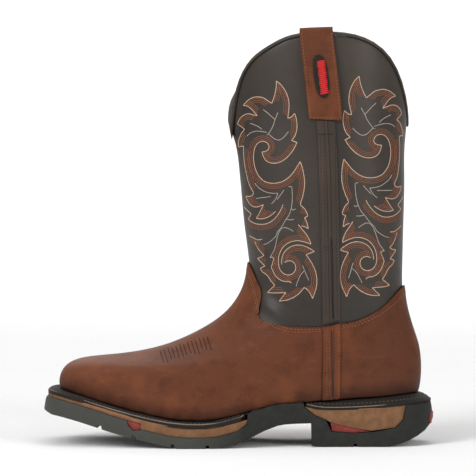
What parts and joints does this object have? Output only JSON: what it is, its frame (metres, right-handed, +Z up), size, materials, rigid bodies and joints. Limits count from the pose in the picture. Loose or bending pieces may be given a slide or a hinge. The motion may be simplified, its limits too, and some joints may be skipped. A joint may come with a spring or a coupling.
{
  "type": "western work boot",
  "caption": "Pull-on western work boot for the left foot: scalloped shaft with side seams and pull straps, square toe, welted lug sole with a block heel.",
  "frame": {"origin": "on the floor under the middle of the boot", "axes": "toe along -X and heel along +X, outer side along -Y and inner side along +Y, +Z up the shaft"},
  "size_m": [0.3222, 0.1182, 0.3422],
  "materials": {
    "shaft_leather": "smooth dark leather",
    "brown_leather": "oiled leather",
    "black_rubber": "matt",
    "tan_midsole": "matt foam",
    "red_rubber": "matt",
    "footbed": "lining cloth"
  },
  "bodies": {
    "root": {"collar_binding": "shaft_leather", "counter": "brown_leather", "foot_seam_lateral": "brown_leather", "foot_seam_medial": "brown_leather", "heel_badge": "red_rubber", "heel_inlay": "red_rubber", "heel_rim": "black_rubber", "heel_wedge": "tan_midsole", "insole": "footbed", "midsole": "tan_midsole", "outsole": "black_rubber", "pull_strap_lateral": "brown_leather", "pull_strap_medial": "brown_leather", "red_plug_lateral": "red_rubber", "red_plug_medial": "red_rubber", "shaft_seam_lateral": "shaft_leather", "shaft_seam_medial": "shaft_leather", "strap_patch": "black_rubber", "upper": "shaft_leather", "vamp": "brown_leather", "welt": "black_rubber"}
  },
  "joints": []
}
